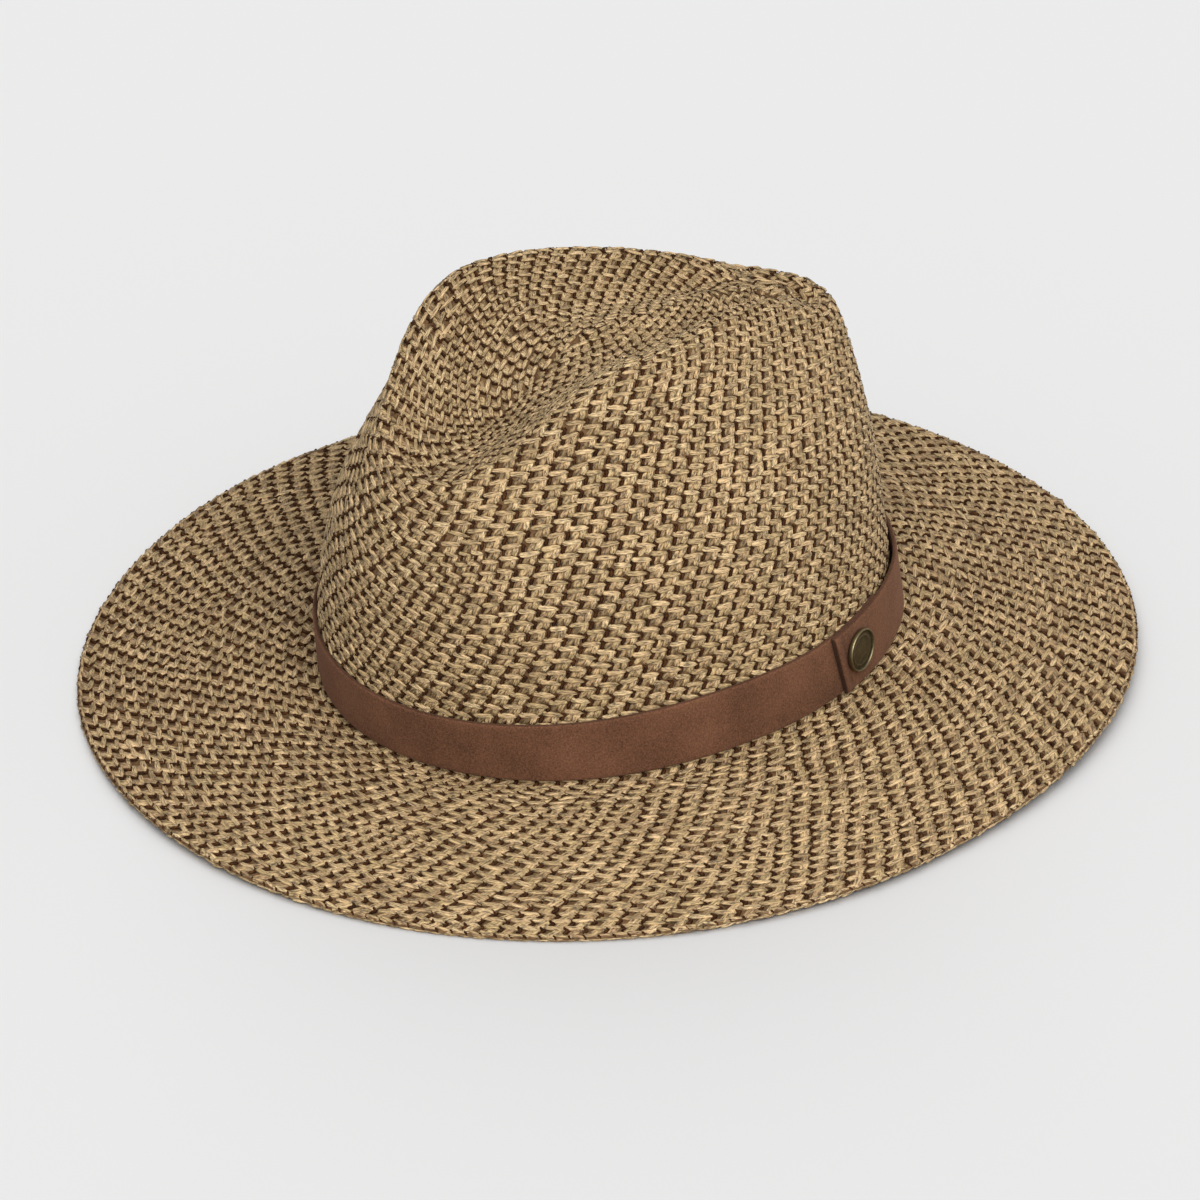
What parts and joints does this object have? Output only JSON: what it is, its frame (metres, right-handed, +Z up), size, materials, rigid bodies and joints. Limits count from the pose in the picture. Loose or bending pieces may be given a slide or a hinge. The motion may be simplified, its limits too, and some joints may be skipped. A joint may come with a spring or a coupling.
{
  "type": "outback hat",
  "caption": "Woven straw hat with a wide, nearly flat brim, a crown creased along its top and open below for the head, a suede band at its foot and a round stud on the band's overlap.",
  "frame": {"origin": "middle of the bounding box in X and Y, on the surface that the brim rests on", "axes": "+X to the wearer's left, where the band overlaps; -Y to the front of the hat; +Z up out of the crown"},
  "size_m": [0.3454, 0.3834, 0.1397],
  "materials": {
    "straw": "two-tone woven paper straw, light tan stitches over dark brown, matt",
    "suede": "brown suede look, matt",
    "brass": "antique brass, dulled, with a brighter rim"
  },
  "bodies": {
    "root": {"straw_body": "straw", "hat_band": "suede", "button": "brass"}
  },
  "joints": []
}
